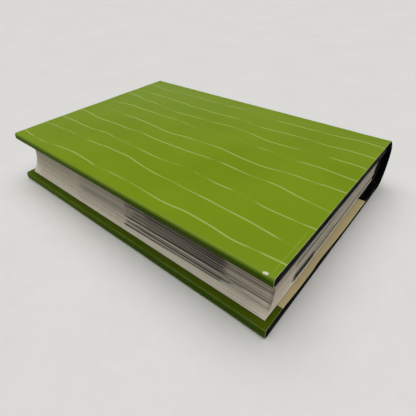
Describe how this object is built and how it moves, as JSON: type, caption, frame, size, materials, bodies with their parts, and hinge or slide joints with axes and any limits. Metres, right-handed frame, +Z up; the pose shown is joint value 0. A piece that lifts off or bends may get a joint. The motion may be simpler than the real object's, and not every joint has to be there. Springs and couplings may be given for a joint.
{
  "type": "hardcover book",
  "caption": "Closed hardcover book with rounded spine, cloth-covered boards, printed dust jacket with flaps, and two covers that open on their grooves.",
  "frame": {"origin": "centre of the bounding box on the surface the book lies on, under its front cover", "axes": "+X from head to tail, +Y from fore-edge to spine, +Z up, front cover below and back cover on top"},
  "size_m": [0.163, 0.1262, 0.0299],
  "materials": {
    "pages": "uncoated book paper, slightly yellowed, cut edges",
    "endpaper": "black uncoated paper",
    "lining": "glued gauze and lining paper",
    "board": "grey binder's board",
    "inlay": "stiff spine strip",
    "cloth": "black book cloth",
    "jacket": "laminated printed jacket, semi-gloss, worn at the corners"
  },
  "bodies": {
    "book_block": {"text_block": "pages", "front_flyleaf": "endpaper", "back_flyleaf": "endpaper", "spine_lining": "lining", "spine_inlay": "inlay", "spine_cloth": "cloth", "jacket_spine": "jacket"},
    "front_cover": {"front_board": "board", "front_cloth": "cloth", "front_pastedown": "endpaper", "jacket_front": "jacket"},
    "back_cover": {"back_board": "board", "back_cloth": "cloth", "back_pastedown": "endpaper", "jacket_back": "jacket"}
  },
  "joints": [
    {"name": "front_cover_hinge", "type": "hinge", "parent": "book_block", "child": "front_cover", "pos_m": [0, 0.0536, 0.004], "axis": [1, 0, 0], "range_deg": [0, 178]},
    {"name": "back_cover_hinge", "type": "hinge", "parent": "book_block", "child": "back_cover", "pos_m": [0, 0.0536, 0.0259], "axis": [-1, 0, 0], "range_deg": [0, 178]}
  ]
}
